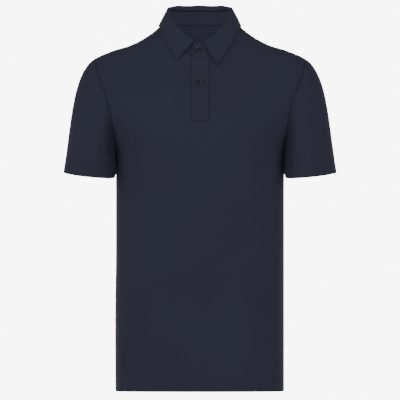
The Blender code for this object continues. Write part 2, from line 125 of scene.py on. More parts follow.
# The way the cloth takes through the hem, from its raw edge inside, down, round and up.
HEIGHT, INWARD = range(2)
HEM_PATH = np.array(
    [
        (0.0258, 0.0022),
        (0.0250, 0.0019),
        (0.0220, 0.0020),
        (0.0190, 0.0019),
        (0.0120, 0.0021),
        (0.0040, 0.0021),
        (0.0012, 0.0019),
        (0.0003, 0.0015),
        (0.0000, 0.0010),
        (0.0003, 0.0005),
        (0.0011, 0.0001),
        (0.0030, -0.0001),
        (0.0080, -0.0001),
        (0.0140, -0.0001),
        (0.0180, 0.0000),
        (0.0190, 0.0003),
        (0.0200, 0.0000),
        (0.0220, -0.0002),
        (0.0240, 0.0000),
        (0.0250, 0.0003),
        (0.0260, 0.0001),
        (0.0285, 0.0000),
    ]
)
HEM_STITCHES = (0.0190, 0.0250)  # height of the two rows of stitches over the hem's edge
COLUMNS = 54
BODY_ROWS = 108
CHEST_ROWS = {FRONT: 52, BACK: 60}
NECK_ROWS = {FRONT: 30, BACK: 24}
RIDGE_SHORT = (0.0040, 0.0020, 0.0007)  # climb left to the shoulder seam
FINE = 500  # steps along a curve before it is divided
SLOPE_STEP = 5e-4  # the reach over which a slope is taken
HIGHEST_CHEST = 0.10  # a climb that is well below the neck
HALVINGS = 40
SAME_PLACE = 1e-6

# The unevenness of the cloth: what stays calm by a seam, how deep and how far in its puckers go,
# and the slow waves that deepen towards the hem.
FOLDS_CALM = 0.018
SEAM_PUCKER, SEAM_PUCKER_REACH, SEAM_CLEAR = 0.0003, 0.006, 0.002
HEM_PUCKER, HEM_PUCKER_HEIGHT, HEM_PUCKER_REACH = 0.00025, 0.022, 0.012
DRAPE, DRAPE_STARTS, DRAPE_FULL = 0.0011, 0.30, 0.62
OVER_SHOULDER = 0.5  # what the depth adds to the height on the cloth, above the chest

# Soft folds: place across and above the origin, lean from upright in degrees, half length,
# half width, and depth. A fold of negative depth is a ridge.
FOLD_X, FOLD_Z, FOLD_LEAN, FOLD_LENGTH, FOLD_WIDTH, FOLD_DEPTH = range(6)
FRONT_FOLDS = np.array(
    [
        (0.157, -0.258, 18.0, 0.045, 0.010, -0.0020),
        (0.131, -0.232, 36.0, 0.050, 0.012, 0.0018),
        (0.118, -0.560, -14.0, 0.110, 0.022, 0.0030),
        (-0.157, -0.262, -20.0, 0.045, 0.010, -0.0021),
        (-0.129, -0.226, -34.0, 0.050, 0.012, 0.0017),
        (-0.118, -0.560, 14.0, 0.110, 0.022, 0.0030),
        (-0.146, -0.315, -18.0, 0.060, 0.012, 0.0022),
        (0.137, -0.352, 14.0, 0.075, 0.015, 0.0019),
        (-0.092, -0.412, 9.0, 0.090, 0.019, 0.0017),
        (0.061, -0.640, -6.0, 0.075, 0.018, 0.0016),
        (-0.052, -0.668, 5.0, 0.060, 0.016, 0.0014),
        (0.110, -0.135, 48.0, 0.050, 0.014, 0.0012),
        (-0.104, -0.128, -52.0, 0.044, 0.013, 0.0013),
        (0.034, -0.235, 10.0, 0.040, 0.015, -0.0012),
        (-0.038, -0.262, -16.0, 0.050, 0.016, -0.0011),
    ]
)


def through(table, column, at):
    """A smooth curve through one column of a table, whose first column is the place."""
    knots, values = table[:, 0], table[:, column]
    slopes = np.gradient(values, knots)
    i = np.clip(np.searchsorted(knots, at, side="right") - 1, 0, len(knots) - 2)
    width = knots[i + 1] - knots[i]
    t = (at - knots[i]) / width
    rise = (2 * t**3 - 3 * t**2 + 1) * values[i] + (3 * t**2 - 2 * t**3) * values[i + 1]
    bend = (t**3 - 2 * t**2 + t) * slopes[i] + (t**3 - t**2) * slopes[i + 1]
    return rise + bend * width


def ease(value, low, high):
    """0 below low, 1 above high, and a soft step between."""
    t = np.clip((value - low) / (high - low), 0, 1)
    return t * t * (3 - 2 * t)


def unit(v):
    return v / np.maximum(np.linalg.norm(v, axis=-1, keepdims=True), 1e-12)


def lengths_along(line):
    """Distance of each point of a line from its start."""
    return np.concatenate([[0], np.cumsum(np.linalg.norm(np.diff(line, axis=0), axis=1))])


def divide(line, places):
    """The points of a line at these distances from its start."""
    along = lengths_along(line)
    return np.stack([np.interp(places, along, line[:, k]) for k in range(3)], axis=-1)


def arch_height(x):
    return through(SHOULDER_LINE, ABOVE, np.abs(x)) + UNDERARM_DROP


def form(angle, climb, column):
    """A point of the shirt's outer face, from its angle round the body and its climb."""
    power = 2 / through(BODY_SECTIONS, SQUARENESS, climb)
    x = through(BODY_SECTIONS, HALF_WIDTH, climb) * np.sin(angle) ** power
    way = 1 if column == BACK else -1
    y = way * through(BODY_SECTIONS, column, climb) * np.abs(np.cos(angle)) ** power
    arch = arch_height(x) * np.sin(np.clip(climb, 0, None) / ARCH_RADIUS)
    z = np.where(climb > 0, arch, climb) - UNDERARM_DROP
    return np.stack(np.broadcast_arrays(x, y, z), axis=-1)


def angle_at(x, climb):
    """The angle round the body at which the outer face is this far across."""
    power = through(BODY_SECTIONS, SQUARENESS, climb) / 2
    share = np.clip(x / through(BODY_SECTIONS, HALF_WIDTH, climb), 0, 1)
    return np.arcsin(np.clip(share**power, 0, 1))


def climb_at(x, z):
    """The climb at which the outer face has this place across and this height."""
    share = np.clip((z + UNDERARM_DROP) / arch_height(x), -1, 1)
    return np.where(share > 0, ARCH_RADIUS * np.arcsin(share), z + UNDERARM_DROP)


def climb_over(x, depth, column):
    """The climb at which the outer face lies over a place given as seen from above."""
    low = np.full(np.shape(x), HIGHEST_CHEST)
    high = np.full(np.shape(x), RIDGE_CLIMB)
    for _ in range(HALVINGS):
        climb = (low + high) / 2
        here = np.abs(form(angle_at(x, climb), climb, column)[..., 1])
        low = np.where(here > depth, climb, low)
        high = np.where(here > depth, high, climb)
    return climb


def outward(points, column):
    """The outward direction of the shirt's face at some points of either side of it."""
    step = SLOPE_STEP
    side = np.where(points[..., :1] < 0, -1, 1)
    x = np.clip(np.abs(points[..., 0]), step, None)
    climb = np.clip(climb_at(x, points[..., 2]), HEM_CLIMB, RIDGE_CLIMB - 2 * step)
    across = form(angle_at(x + step, climb), climb, column)
    across = across - form(angle_at(x - step, climb), climb, column)
    angle = angle_at(x, climb)
    up = form(angle, climb + step, column) - form(angle, climb - step, column)
    out = np.cross(across, up) if column == FRONT else np.cross(up, across)
    out[..., 0] = np.where(np.abs(points[..., 0]) < step, 0, out[..., 0])
    return unit(out) * np.concatenate([side, np.ones_like(side), np.ones_like(side)], axis=-1)


def armhole_seam(column, steps):
    """(angle, climb) at even steps along the armhole seam, from underarm to shoulder."""
    turn = np.linspace(0, math.pi / 2, FINE)
    climb = RIDGE_CLIMB * (1 - np.cos(turn))
    top = angle_at(SHOULDER_HALF, np.array(RIDGE_CLIMB))
    angle = math.pi / 2 - (math.pi / 2 - top) * np.sin(turn)
    angle = angle - ARMHOLE_SCOOP * np.sin(2 * turn) ** 2
    along = lengths_along(form(angle, climb, column))
    places = np.linspace(0, along[-1], steps + 1)
    return np.interp(places, along, angle), np.interp(places, along, climb)


def panel_row(inner, outer, column, middle=()):
    """One row of a panel, from one (angle, climb) out to another, and its distances along.
    The middle gives how far across its first points are, as seen from the front."""
    s = np.sin(np.linspace(0, math.pi / 2, FINE)) ** 2
    angle = inner[0] + (outer[0] - inner[0]) * s
    climb = inner[1] + (outer[1] - inner[1]) * s
    line = form(angle, climb, column)
    along = lengths_along(line)
    first = [float(np.interp(x, line[:, 0], along)) for x in middle]
    seam = along[-1] - SEAM_HALF_GAP
    even = np.linspace(first[-1] if first else 0.0, seam - SEAM_ROLL[0, SHORT], COLUMNS + 1)
    places = np.concatenate([first[:-1], even, seam - SEAM_ROLL[1:, SHORT]])
    return divide(line, places), places


def half_panel(column):
    """The wearer's left half of the front or back: its points from hem to shoulder, how far
    across the cloth each lies, how far each row is turned in, and the row at the neck."""
    middle = (0.0, SLASH_HALF, PLACKET_HALF) if column == FRONT else ()
    armhole_rows = CHEST_ROWS[column] + NECK_ROWS[column]
    seam = list(zip(*armhole_seam(column, armhole_rows)))
    level = list(HEM_CLIMB + HEM_PATH[:, HEIGHT])
    level += list(np.linspace(level[-1], 0, BODY_ROWS + 1)[1:-1])
    ends = [((0, climb), (math.pi / 2, climb)) for climb in level]
    neck = float(climb_over(np.array(0.0), NECK_DEPTH[column], column))
    for place, climb in enumerate(np.linspace(0, neck, CHEST_ROWS[column] + 1)[:-1]):
        ends.append(((0, climb), seam[place]))
    neck_row = len(ends)
    first_turn = math.asin(PLACKET_HALF / NECK_HALF) if middle else 0.0
    turns = np.linspace(first_turn, math.pi / 2, NECK_ROWS[column] + 1)[:-1]
    for place, turn in enumerate(turns, CHEST_ROWS[column]):
        x = np.array(NECK_HALF * math.sin(turn))
        climb = climb_over(x, NECK_DEPTH[column] * math.cos(turn), column)
        if climb < RIDGE_CLIMB - 2 * RIDGE_SHORT[0]:
            ends.append(((angle_at(x, climb), climb), seam[place]))
    roll = SEAM_ROLL[2:, TURNED]
    for short in (*RIDGE_SHORT, *[SEAM_HALF_GAP] * len(roll)):
        climb = np.array(RIDGE_CLIMB - short)
        ends.append(((angle_at(NECK_HALF, climb), climb), (angle_at(SHOULDER_HALF, climb), climb)))
    points, across = [], []
    for place, (inner, outer) in enumerate(ends):
        row, distances = panel_row(inner, outer, column, middle if place < neck_row else ())
        if middle and place >= neck_row:
            row = np.concatenate([row[:1].repeat(2, axis=0), row])
            distances = np.concatenate([distances[:1].repeat(2), distances])
        if place >= neck_row:
            distances = distances + float(np.hypot(row[0, 0], 0))
        points.append(row)
        across.append(distances)
    points, across = np.array(points), np.array(across)
    if middle:
        for place, x in enumerate(middle[:-1]):
            depth = NECK_DEPTH[FRONT] * math.sqrt(1 - (x / NECK_HALF) ** 2)
            climb = climb_over(np.array(x), depth, FRONT)
            points[neck_row, place] = form(angle_at(np.array(x), climb), climb, FRONT)
    turned = np.zeros(len(points))
    turned[: len(HEM_PATH)] = HEM_PATH[:, INWARD]
    turned[-len(roll) :] = roll
    return points, across, turned, neck_row


def fold_depth(x, z, folds):
    """How far the soft folds push the face in at each place."""
    depth = np.zeros(np.shape(x))
    for fold in folds:
        lean = math.radians(fold[FOLD_LEAN])
        dx, dz = x - fold[FOLD_X], z - fold[FOLD_Z]
        across = dx * math.cos(lean) - dz * math.sin(lean)
        along = dx * math.sin(lean) + dz * math.cos(lean)
        hollow = np.exp(-((across / fold[FOLD_WIDTH]) ** 2) - (along / fold[FOLD_LENGTH]) ** 2)
        depth += fold[FOLD_DEPTH] * hollow
    return depth


def wander(along, seed):
    """An uneven wave along a seam, between about -1 and 1."""
    wave = np.sin(along * 620 + seed) + 0.7 * np.sin(along * 391 + 2.1 * seed)
    return (wave + 0.6 * np.sin(along * 977 + 4.7 * seed)) / 2.3


def dress_panel(half, column, folds, side):
    """One half of a panel with its folds, drape, puckers and turned edges. Returns its outer
    face, its coordinates on the cloth, and its outward directions."""
    points, across, turned, _ = half
    points = points * (side, 1, 1)
    x, z = points[..., 0], points[..., 2]
    out = outward(points, column)
    heights = z + OVER_SHOULDER * np.abs(points[..., 1]) * ease(z, -0.20, 0.0)
    seed = 1.3 * column
    short = np.maximum(across[:, -1:] - across, 0)
    calm = ease(short, 0.0, FOLDS_CALM)
    depth = fold_depth(x, z, folds) * calm
    pucker = wander(heights, seed + 2.2 * side) * np.exp(-short / SEAM_PUCKER_REACH)
    depth += SEAM_PUCKER * pucker * ease(short, 0, SEAM_CLEAR)
    wave = np.sin(x * 31 + seed) + 0.8 * np.sin(x * 53 + 2 * seed)
    wave = wave * (1 + 0.4 * np.sin(z * 14 + seed))
    depth += ease(-z, DRAPE_STARTS, DRAPE_FULL) * calm * DRAPE * wave
    by_hem = np.exp(-(((z - HEM_Z - HEM_PUCKER_HEIGHT) / HEM_PUCKER_REACH) ** 2))
    depth += HEM_PUCKER * wander(across * side + 3, seed + 1) * by_hem
    depth += turned[:, None]
    depth[:, -len(SEAM_ROLL) :] += SEAM_ROLL[:, TURNED]
    flat = np.stack([across * side, heights], axis=-1)
    return points - out * depth[..., None], flat, out


def add_object(name, data):
    obj = bpy.data.objects.new(name, data)
    bpy.context.scene.collection.objects.link(obj)
    return obj


def cloth_mesh(name, parts, wall=0.0):
    """A piece of cloth from one or more grids. Each part holds its points, its coordinates on
    the cloth, whether its faces are turned over, whether its rows close on themselves, and a
    test for cells that are cut out. A wall is added inwards of the face that the grids show."""
    bm = bmesh.new()
    cloth = bm.loops.layers.uv.new("cloth")
    for points, flat, flip, closed, cut in parts:
        grid = [[bm.verts.new(p) for p in row] for row in points]
        count = len(points[0])
        for i in range(len(grid) - 1):
            for j in range(count if closed else count - 1):
                if cut and cut(i, j):
                    continue
                k = (j + 1) % count
                spots = [(i, j), (i, k), (i + 1, k), (i + 1, j)]
                if flip:
                    spots.reverse()
                face = bm.faces.new([grid[a][b] for a, b in spots])
                face.smooth = True
                for loop, (a, b) in zip(face.loops, spots):
                    u = flat[a][b][0]
                    if closed and k == 0 and b == 0:
                        u = 2 * flat[a][-1][0] - flat[a][-2][0]
                    loop[cloth].uv = (u, flat[a][b][1])
    bmesh.ops.delete(bm, geom=[v for v in bm.verts if not v.link_faces], context="VERTS")
    bmesh.ops.remove_doubles(bm, verts=bm.verts, dist=SAME_PLACE)
    mesh = bpy.data.meshes.new(name)
    bm.to_mesh(mesh)
    bm.free()
    obj = add_object(name, mesh)
    if wall:
        thick = obj.modifiers.new("Wall", "SOLIDIFY")
        thick.thickness = wall
        thick.offset = -1
    return settle(obj)


def settle(obj):
    """Makes what the modifiers show the object's own mesh, and drops the modifiers."""
    graph = bpy.context.evaluated_depsgraph_get()
    mesh = bpy.data.meshes.new_from_object(obj.evaluated_get(graph), depsgraph=graph)
    obj.modifiers.clear()
    obj.data = mesh
    mesh.name = obj.name
    return obj


def new_material(name, settings):
    """A material with these settings on its shader's own sockets, and its nodes and links."""
    material = bpy.data.materials.new(name)
    material.use_nodes = True
    nodes, links = material.node_tree.nodes, material.node_tree.links
    for socket, value in settings.items():
        nodes["Principled BSDF"].inputs[socket].default_value = value
    return material, nodes, links


def cloud(nodes, links, scale, detail=2.0):
    """A slow or fine unevenness through the piece, between 0 and 1."""
    place = nodes.new("ShaderNodeTexCoord")
    noise = nodes.new("ShaderNodeTexNoise")
    noise.inputs["Scale"].default_value = scale
    noise.inputs["Detail"].default_value = detail
    links.new(place.outputs["Object"], noise.inputs["Vector"])
    return noise.outputs["Fac"]


def paint(nodes, links, factor, colour, darkest, lightest):
    """Lays a colour between its darkest and its lightest share, by a factor."""
    shade = nodes.new("ShaderNodeMix")
    shade.data_type = "RGBA"
    for socket, share in (("A", darkest), ("B", lightest)):
        shade.inputs[socket].default_value = tuple(c * share for c in colour) + (1.0,)
    links.new(factor, shade.inputs["Factor"])
    links.new(shade.outputs["Result"], nodes["Principled BSDF"].inputs["Base Color"])


def knit_cloth(name, colour, cell, depth, rib):
    """Knitted cotton: a raised lattice and fine upright ribs on the cloth's own coordinates,
    loose fibres that catch a little light, and slow uneven fading."""
    settings = {
        "Roughness": 0.90,
        "Specular IOR Level": 0.18,
        "Sheen Weight": 0.06,
        "Sheen Roughness": 0.45,
        "Sheen Tint": (0.46, 0.52, 0.74, 1.0),
    }
    material, nodes, links = new_material(name, settings)

    def maths(operation, a, b=None):
        node = nodes.new("ShaderNodeMath")
        node.operation = operation
        for socket, value in zip(node.inputs, (a, b)):
            if isinstance(value, (int, float)):
                socket.default_value = value
            elif value is not None:
                links.new(value, socket)
        return node.outputs[0]

    flat = nodes.new("ShaderNodeUVMap")
    flat.uv_map = "cloth"
    split = nodes.new("ShaderNodeSeparateXYZ")
    links.new(flat.outputs["UV"], split.inputs[0])
    u, v = split.outputs["X"], split.outputs["Y"]
    turn = math.pi / cell
    rising = maths("SINE", maths("MULTIPLY", maths("ADD", u, v), turn))
    falling = maths("SINE", maths("MULTIPLY", maths("SUBTRACT", u, v), turn))
    lattice = maths("MULTIPLY", rising, falling)
    wales = maths("MULTIPLY", maths("SINE", maths("MULTIPLY", u, 4 * turn)), rib)
    fibres = maths("MULTIPLY", cloud(nodes, links, 900.0, 3.0), 0.9)
    bump = nodes.new("ShaderNodeBump")
    bump.inputs["Strength"].default_value = 0.55
    bump.inputs["Distance"].default_value = depth
    links.new(maths("ADD", maths("ADD", lattice, wales), fibres), bump.inputs["Height"])
    links.new(bump.outputs["Normal"], nodes["Principled BSDF"].inputs["Normal"])

    fading = maths("MULTIPLY", maths("SUBTRACT", cloud(nodes, links, 7.0, 4.0), 0.5), 0.5)
    weave = maths("ADD", maths("MULTIPLY", lattice, 0.12), fading)
    paint(nodes, links, maths("ADD", weave, 0.5), colour, 0.72, 1.28)
    return material


def sewing_thread(name, colour):
    """Spun thread: a fine twist in its shade, and a soft gloss."""
    settings = {"Roughness": 0.70, "Specular IOR Level": 0.20, "Sheen Weight": 0.06}
    material, nodes, links = new_material(name, settings)
    paint(nodes, links, cloud(nodes, links, 2600.0), colour, 0.6, 1.4)
    return material


def stitch_tree():
    """Lays one small stitch at each step of a seam line, along the line's own lay."""
    tree = bpy.data.node_groups.new("Stitches", "GeometryNodeTree")
    sockets = (
        ("Seam", "NodeSocketGeometry"),
        ("Pitch", "NodeSocketFloat"),
        ("Length", "NodeSocketFloat"),
        ("Thickness", "NodeSocketFloat"),
        ("Seed", "NodeSocketInt"),
        ("Thread", "NodeSocketMaterial"),
    )
    for name, kind in sockets:
        tree.interface.new_socket(name, in_out="INPUT", socket_type=kind)
    tree.interface.new_socket("Stitches", in_out="OUTPUT", socket_type="NodeSocketGeometry")
    nodes, links = tree.nodes, tree.links
    given = nodes.new("NodeGroupInput").outputs
    line = nodes.new("GeometryNodeMeshToCurve")
    steps = nodes.new("GeometryNodeResampleCurve")
    steps.mode = "LENGTH"
    ball = nodes.new("GeometryNodeMeshUVSphere")
    ball.inputs["Segments"].default_value = 6
    ball.inputs["Rings"].default_value = 4
    ball.inputs["Radius"].default_value = 0.5
    lay = nodes.new("GeometryNodeInputNamedAttribute")
    lay.data_type = "FLOAT_VECTOR"
    lay.inputs["Name"].default_value = "lay"
    turn = nodes.new("FunctionNodeAlignRotationToVector")
    turn.axis = "X"
    uneven = nodes.new("FunctionNodeRandomValue")
    uneven.data_type = "FLOAT"
    uneven.inputs["Min"].default_value = 0.86
    uneven.inputs["Max"].default_value = 1.06
    long = nodes.new("ShaderNodeMath")
    long.operation = "MULTIPLY"
    size = nodes.new("ShaderNodeCombineXYZ")
    place = nodes.new("GeometryNodeInstanceOnPoints")
    real = nodes.new("GeometryNodeRealizeInstances")
    smooth = nodes.new("GeometryNodeSetShadeSmooth")
    thread = nodes.new("GeometryNodeSetMaterial")
    result = nodes.new("NodeGroupOutput")
    wires = (
        (given["Seam"], line.inputs["Mesh"]),
        (line.outputs["Curve"], steps.inputs["Curve"]),
        (given["Pitch"], steps.inputs["Length"]),
        (lay.outputs["Attribute"], turn.inputs["Vector"]),
        (given["Seed"], uneven.inputs["Seed"]),
        (given["Length"], long.inputs[0]),
        (uneven.outputs[1], long.inputs[1]),
        (long.outputs[0], size.inputs["X"]),
        (given["Thickness"], size.inputs["Y"]),
        (given["Thickness"], size.inputs["Z"]),
        (steps.outputs["Curve"], place.inputs["Points"]),
        (ball.outputs["Mesh"], place.inputs["Instance"]),
        (turn.outputs["Rotation"], place.inputs["Rotation"]),
        (size.outputs["Vector"], place.inputs["Scale"]),
        (place.outputs["Instances"], real.inputs["Geometry"]),
        (real.outputs["Geometry"], smooth.inputs["Geometry"]),
        (smooth.outputs["Geometry"], thread.inputs["Geometry"]),
        (given["Thread"], thread.inputs["Material"]),
        (thread.outputs["Geometry"], result.inputs["Stitches"]),
    )
    for source, socket in wires:
        links.new(source, socket)
    return tree


def sew(name, seams, thread, slot, pitch=0.0029, length=0.0024, thickness=0.00042, seed=3):
    """A run of stitches along each seam. A seam is a line of points and the lay at each."""
    verts, lays, edges = [], [], []
    for line, lay in seams:
        first = len(verts)
        verts += [tuple(p) for p in line]
        lays += [tuple(d) for d in lay]
        edges += [(first + n, first + n + 1) for n in range(len(line) - 1)]
    mesh = bpy.data.meshes.new(name)
    mesh.from_pydata(verts, edges, [])
    lay = mesh.attributes.new("lay", "FLOAT_VECTOR", "POINT")
    lay.data.foreach_set("vector", np.array(lays, dtype=np.float32).ravel())
    obj = add_object(name, mesh)
    stitching = obj.modifiers.new("Stitches", "NODES")
    stitching.node_group = stitches
    inputs = {
        "Pitch": pitch,
        "Length": length,
        "Thickness": thickness,
        "Seed": seed,
        "Thread": thread,
    }
    for socket in stitches.interface.items_tree:
        if socket.name in inputs:
            stitching[socket.identifier] = inputs[socket.name]
    settle(obj)
    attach(obj, "root")


def seam_line(points, out, lift=0.00012):
    """A seam that runs along some points, a little proud of the cloth."""
    return points + out * lift, unit(np.gradient(points, axis=0))


stitches = stitch_tree()
NAVY = (0.0215, 0.0230, 0.0400)
jersey = knit_cloth("Navy piqué knit", NAVY, 0.0014, 0.00022, 0.35)
navy_thread = sewing_thread("Navy thread", (0.024, 0.027, 0.044))

front_half = half_panel(FRONT)
slash_row = int(np.argmin(np.abs(front_half[0][len(HEM_PATH) :, 0, 2] - SLASH_Z))) + len(HEM_PATH)


def front_opening(i, j):
    """Whether the slash or the neck cuts this cell out of each half of the front."""
    return (i >= slash_row and j < 1) or (i >= front_half[3] and j < 2)


def make_panel(name, half, column, folds, opening=None):
    """Both halves of a panel as one piece, and the stitches of its hem."""
    parts, hems = [], []
    for side in (1, -1):
        points, flat, out = dress_panel(half, column, folds, side)
        points[: half[3] + 1, 0, 0] = 0.0
        parts.append((points, flat, (column == BACK) != (side < 0), False, opening))
        for height in HEM_STITCHES:
            row = int(np.flatnonzero(HEM_PATH[:, HEIGHT] == height)[-1])
            inside = slice(0, -len(SEAM_ROLL))
            hems.append(seam_line(points[row, inside], out[row, inside]))
    obj = cloth_mesh(name, parts, KNIT)
    obj.data.materials.append(jersey)
    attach(obj, "root")
    sew(name + "_hem_stitches", hems, navy_thread, "jersey")
    return obj


shirt_front = make_panel("shirt_front", front_half, FRONT, FRONT_FOLDS, front_opening)
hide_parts("front")


# ---------------------------------------------------------------------------------------------
# Back. One panel of the same knit, from hem to shoulder seams, joined to the front at the side
# seams. It is fuller over the shoulder blades and hangs in to the small of the back.

BACK_FOLDS = np.array(
    [
        (0.146, -0.250, 30.0, 0.060, 0.014, 0.0042),
        (0.122, -0.205, 38.0, 0.050, 0.013, 0.0030),
        (0.085, -0.470, -10.0, 0.120, 0.026, 0.0036),
        (-0.146, -0.250, -30.0, 0.060, 0.014, 0.0042),
        (-0.122, -0.205, -38.0, 0.050, 0.013, 0.0030),
        (-0.085, -0.470, 10.0, 0.120, 0.026, 0.0036),
        (0.026, -0.395, -4.0, 0.110, 0.021, 0.0022),
        (-0.036, -0.430, 7.0, 0.090, 0.019, 0.0019),
        (-0.128, -0.345, -22.0, 0.060, 0.013, 0.0022),
        (0.132, -0.372, 17.0, 0.070, 0.015, 0.0020),
        (0.008, -0.615, 3.0, 0.085, 0.020, 0.0017),
        (-0.098, -0.655, 8.0, 0.060, 0.018, 0.0015),
        (0.104, -0.640, -9.0, 0.070, 0.017, 0.0016),
        (0.090, -0.100, 55.0, 0.045, 0.012, 0.0012),
        (-0.086, -0.108, -50.0, 0.050, 0.013, 0.0011),
    ]
)
shirt_back = make_panel("shirt_back", half_panel(BACK), BACK, BACK_FOLDS)
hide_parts("back")


# ---------------------------------------------------------------------------------------------
# Placket. Two doubled bands down the slash, the wearer's left over the right, edge-stitched
# down both sides and boxed across the foot. The top one has an upright buttonhole.

LAYER_GAP = 0.0004
PLACKET_CLOTH = 0.0013
PLACKET_FOOT = -0.197
EDGE_STITCH = 0.0018  # from the edge of a doubled piece to its row of stitches
EDGE_SPACING = (0.0, 0.0001, 0.0003, 0.0006, 0.0010, 0.0014, 0.0018, 0.0022, 0.0028)
EDGE_ROUND = 0.0006
STITCHED = EDGE_SPACING.index(EDGE_STITCH)  # where the stitches come in that spacing
STITCH_PRESS = 0.00022
STITCH_PRESS_WIDTH = 0.0005
TOPSTITCH = {"pitch": 0.0025, "length": 0.0021}
PLACKET_LENGTH = 0.160
PLACKET_SHORT = 0.0005  # of the neck seam
BOX_ROWS = 8  # between the two rows of stitches at the foot
BUTTONHOLE_LENGTH = 0.0150
BUTTONHOLE_HALF = 0.0011
BUTTONHOLE_EDGE = 0.62  # of that half, from the cut to its stitches
BUTTONHOLE_STITCH = {"pitch": 0.00038, "length": 0.0013, "thickness": 0.00036}
STITCH_LIFT = 0.0001
CHEST_BUTTON_Z = -0.121


def edged(start, stop, cells, spacing=EDGE_SPACING):
    """Places from one edge of a doubled piece to the other, close together near both."""
    near = np.array(spacing)
    between = np.linspace(start + near[-1], stop - near[-1], cells + 1)[1:-1]
    return np.concatenate([start + near, between, stop - near[::-1]])


def edge_distance(points):
    """Distance of each point of a grid from the nearest of its four edges."""
    distances = []
    for axis in (0, 1):
        steps = np.linalg.norm(np.diff(points, axis=axis), axis=-1)
        along = np.insert(np.cumsum(steps, axis=axis), 0, 0.0, axis=axis)
        distances += [along, np.take(along, [-1], axis=axis) - along]
    return np.minimum.reduce(distances)


def doubled(name, outer, out, flat, thick, stitch_line, flip=False):
    """A piece of two layers sewn together: rounded at its edges, and pressed in along its row
    of stitches. Returns the piece and its outer face."""
    edge = edge_distance(outer)
    round_off = 1 - np.clip(edge / EDGE_ROUND, 0, 1)
    half = thick / 2 * np.sqrt(1 - round_off**2)
    half = half - STITCH_PRESS * np.exp(-(((edge - stitch_line) / STITCH_PRESS_WIDTH) ** 2))
    middle = outer - out * thick / 2
    top = middle + out * half[..., None]
    under = middle - out * half[..., None]
    parts = [(top, flat, flip, False, None), (under, flat, not flip, False, None)]
    return cloth_mesh(name, parts), top


def placket_grid():
    """Points, outward directions and cloth coordinates of a band along the slash."""
    across = edged(-PLACKET_HALF, PLACKET_HALF, 10)
    x = np.abs(across)
    foot = climb_at(x, PLACKET_FOOT)
    depth = NECK_DEPTH[FRONT] * np.sqrt(1 - (x / NECK_HALF) ** 2)
    top = climb_over(x, depth, FRONT) - PLACKET_SHORT
    down = edged(0.0, PLACKET_LENGTH, 70)[:, None] / PLACKET_LENGTH
    climb = foot + (top - foot) * down
    points = form(angle_at(x, climb), climb, FRONT)
    points[..., 0] = across
    flat = np.stack(np.broadcast_arrays(across, down * PLACKET_LENGTH), axis=-1)
    return points, outward(points, FRONT), flat


placket_points, placket_out, placket_flat = placket_grid()
collar_cloth = knit_cloth("Navy collar knit", (0.0214, 0.0229, 0.0398), 0.0012, 0.00018, 0.5)
placket_top, placket_face = doubled(
    "shirt_placket_top",
    placket_points + placket_out * (LAYER_GAP + PLACKET_CLOTH),
    placket_out,
    placket_flat,
    PLACKET_CLOTH,
    EDGE_STITCH,
)
placket_under, _ = doubled(
    "shirt_placket_under",
    placket_points - placket_out * (KNIT + LAYER_GAP),
    placket_out,
    placket_flat,
    PLACKET_CLOTH,
    EDGE_STITCH,
)
for piece, node in ((placket_top, "placket_top"), (placket_under, "placket_under")):
    piece.data.materials.append(collar_cloth)
    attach(piece, "root")
    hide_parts(node)

placket_seams = []
for column in (STITCHED, -1 - STITCHED):
    placket_seams.append(seam_line(placket_face[STITCHED:, column], placket_out[STITCHED:, column]))
inside = slice(STITCHED, -STITCHED)
for row in (STITCHED, STITCHED + BOX_ROWS):
    placket_seams.append(seam_line(placket_face[row, inside], placket_out[row, inside]))
sew("shirt_placket_stitches", placket_seams, navy_thread, "collar_cloth", **TOPSTITCH)


def buttonhole(centre, along, out):
    """The two edges of a buttonhole and the bar at each end, as seams whose stitches lie
    across them."""
    side = np.cross(out, along)
    half = BUTTONHOLE_LENGTH / 2
    seams = []
    for way in (-1, 1):
        edge = centre + side * way * BUTTONHOLE_HALF * BUTTONHOLE_EDGE
        line = [edge + along * s for s in (-half, half)]
        seams.append((np.array(line), np.array([side, side])))
        bar = [centre + along * way * half + side * s for s in (-BUTTONHOLE_HALF, BUTTONHOLE_HALF)]
        seams.append((np.array(bar), np.array([along, along])))
    return seams


chest_climb = climb_at(0.0, CHEST_BUTTON_Z)
chest_place = form(angle_at(np.array(0.0), chest_climb), chest_climb, FRONT)
chest_out = outward(chest_place, FRONT)
chest_up = unit(np.cross((1.0, 0.0, 0.0), chest_out)) * -1
chest_face = chest_place + chest_out * (LAYER_GAP + PLACKET_CLOTH)
sew(
    "shirt_buttonhole_stitches",
    buttonhole(chest_face + chest_out * STITCH_LIFT, chest_up, chest_out),
    navy_thread,
    "collar_cloth",
    **BUTTONHOLE_STITCH,
)


# ---------------------------------------------------------------------------------------------
# Sleeves. One piece of the knit each, set into the armhole and closed by a seam under the arm.
# The hem is turned up inside and twin-stitched, as at the body's hem.

# How the cloth leaves the armhole seam, by the share of the way round from the shoulder to the
# underarm: its direction, and the share of its length over which it is drawn that way.
OUTWARD, SIDEWAYS, DOWNWARD, PULL = range(1, 5)
SLEEVE_LEAVES = np.array(
    [
        (0.00, 0.82, 0.00, 0.57, 0.23),
        (0.25, 0.72, 0.22, 0.66, 0.25),
        (0.50, 0.52, 0.24, 0.82, 0.30),
        (0.75, 0.28, 0.10, 0.95, 0.35),
        (1.00, 0.02, 0.00, 1.00, 0.45),
    ]
)
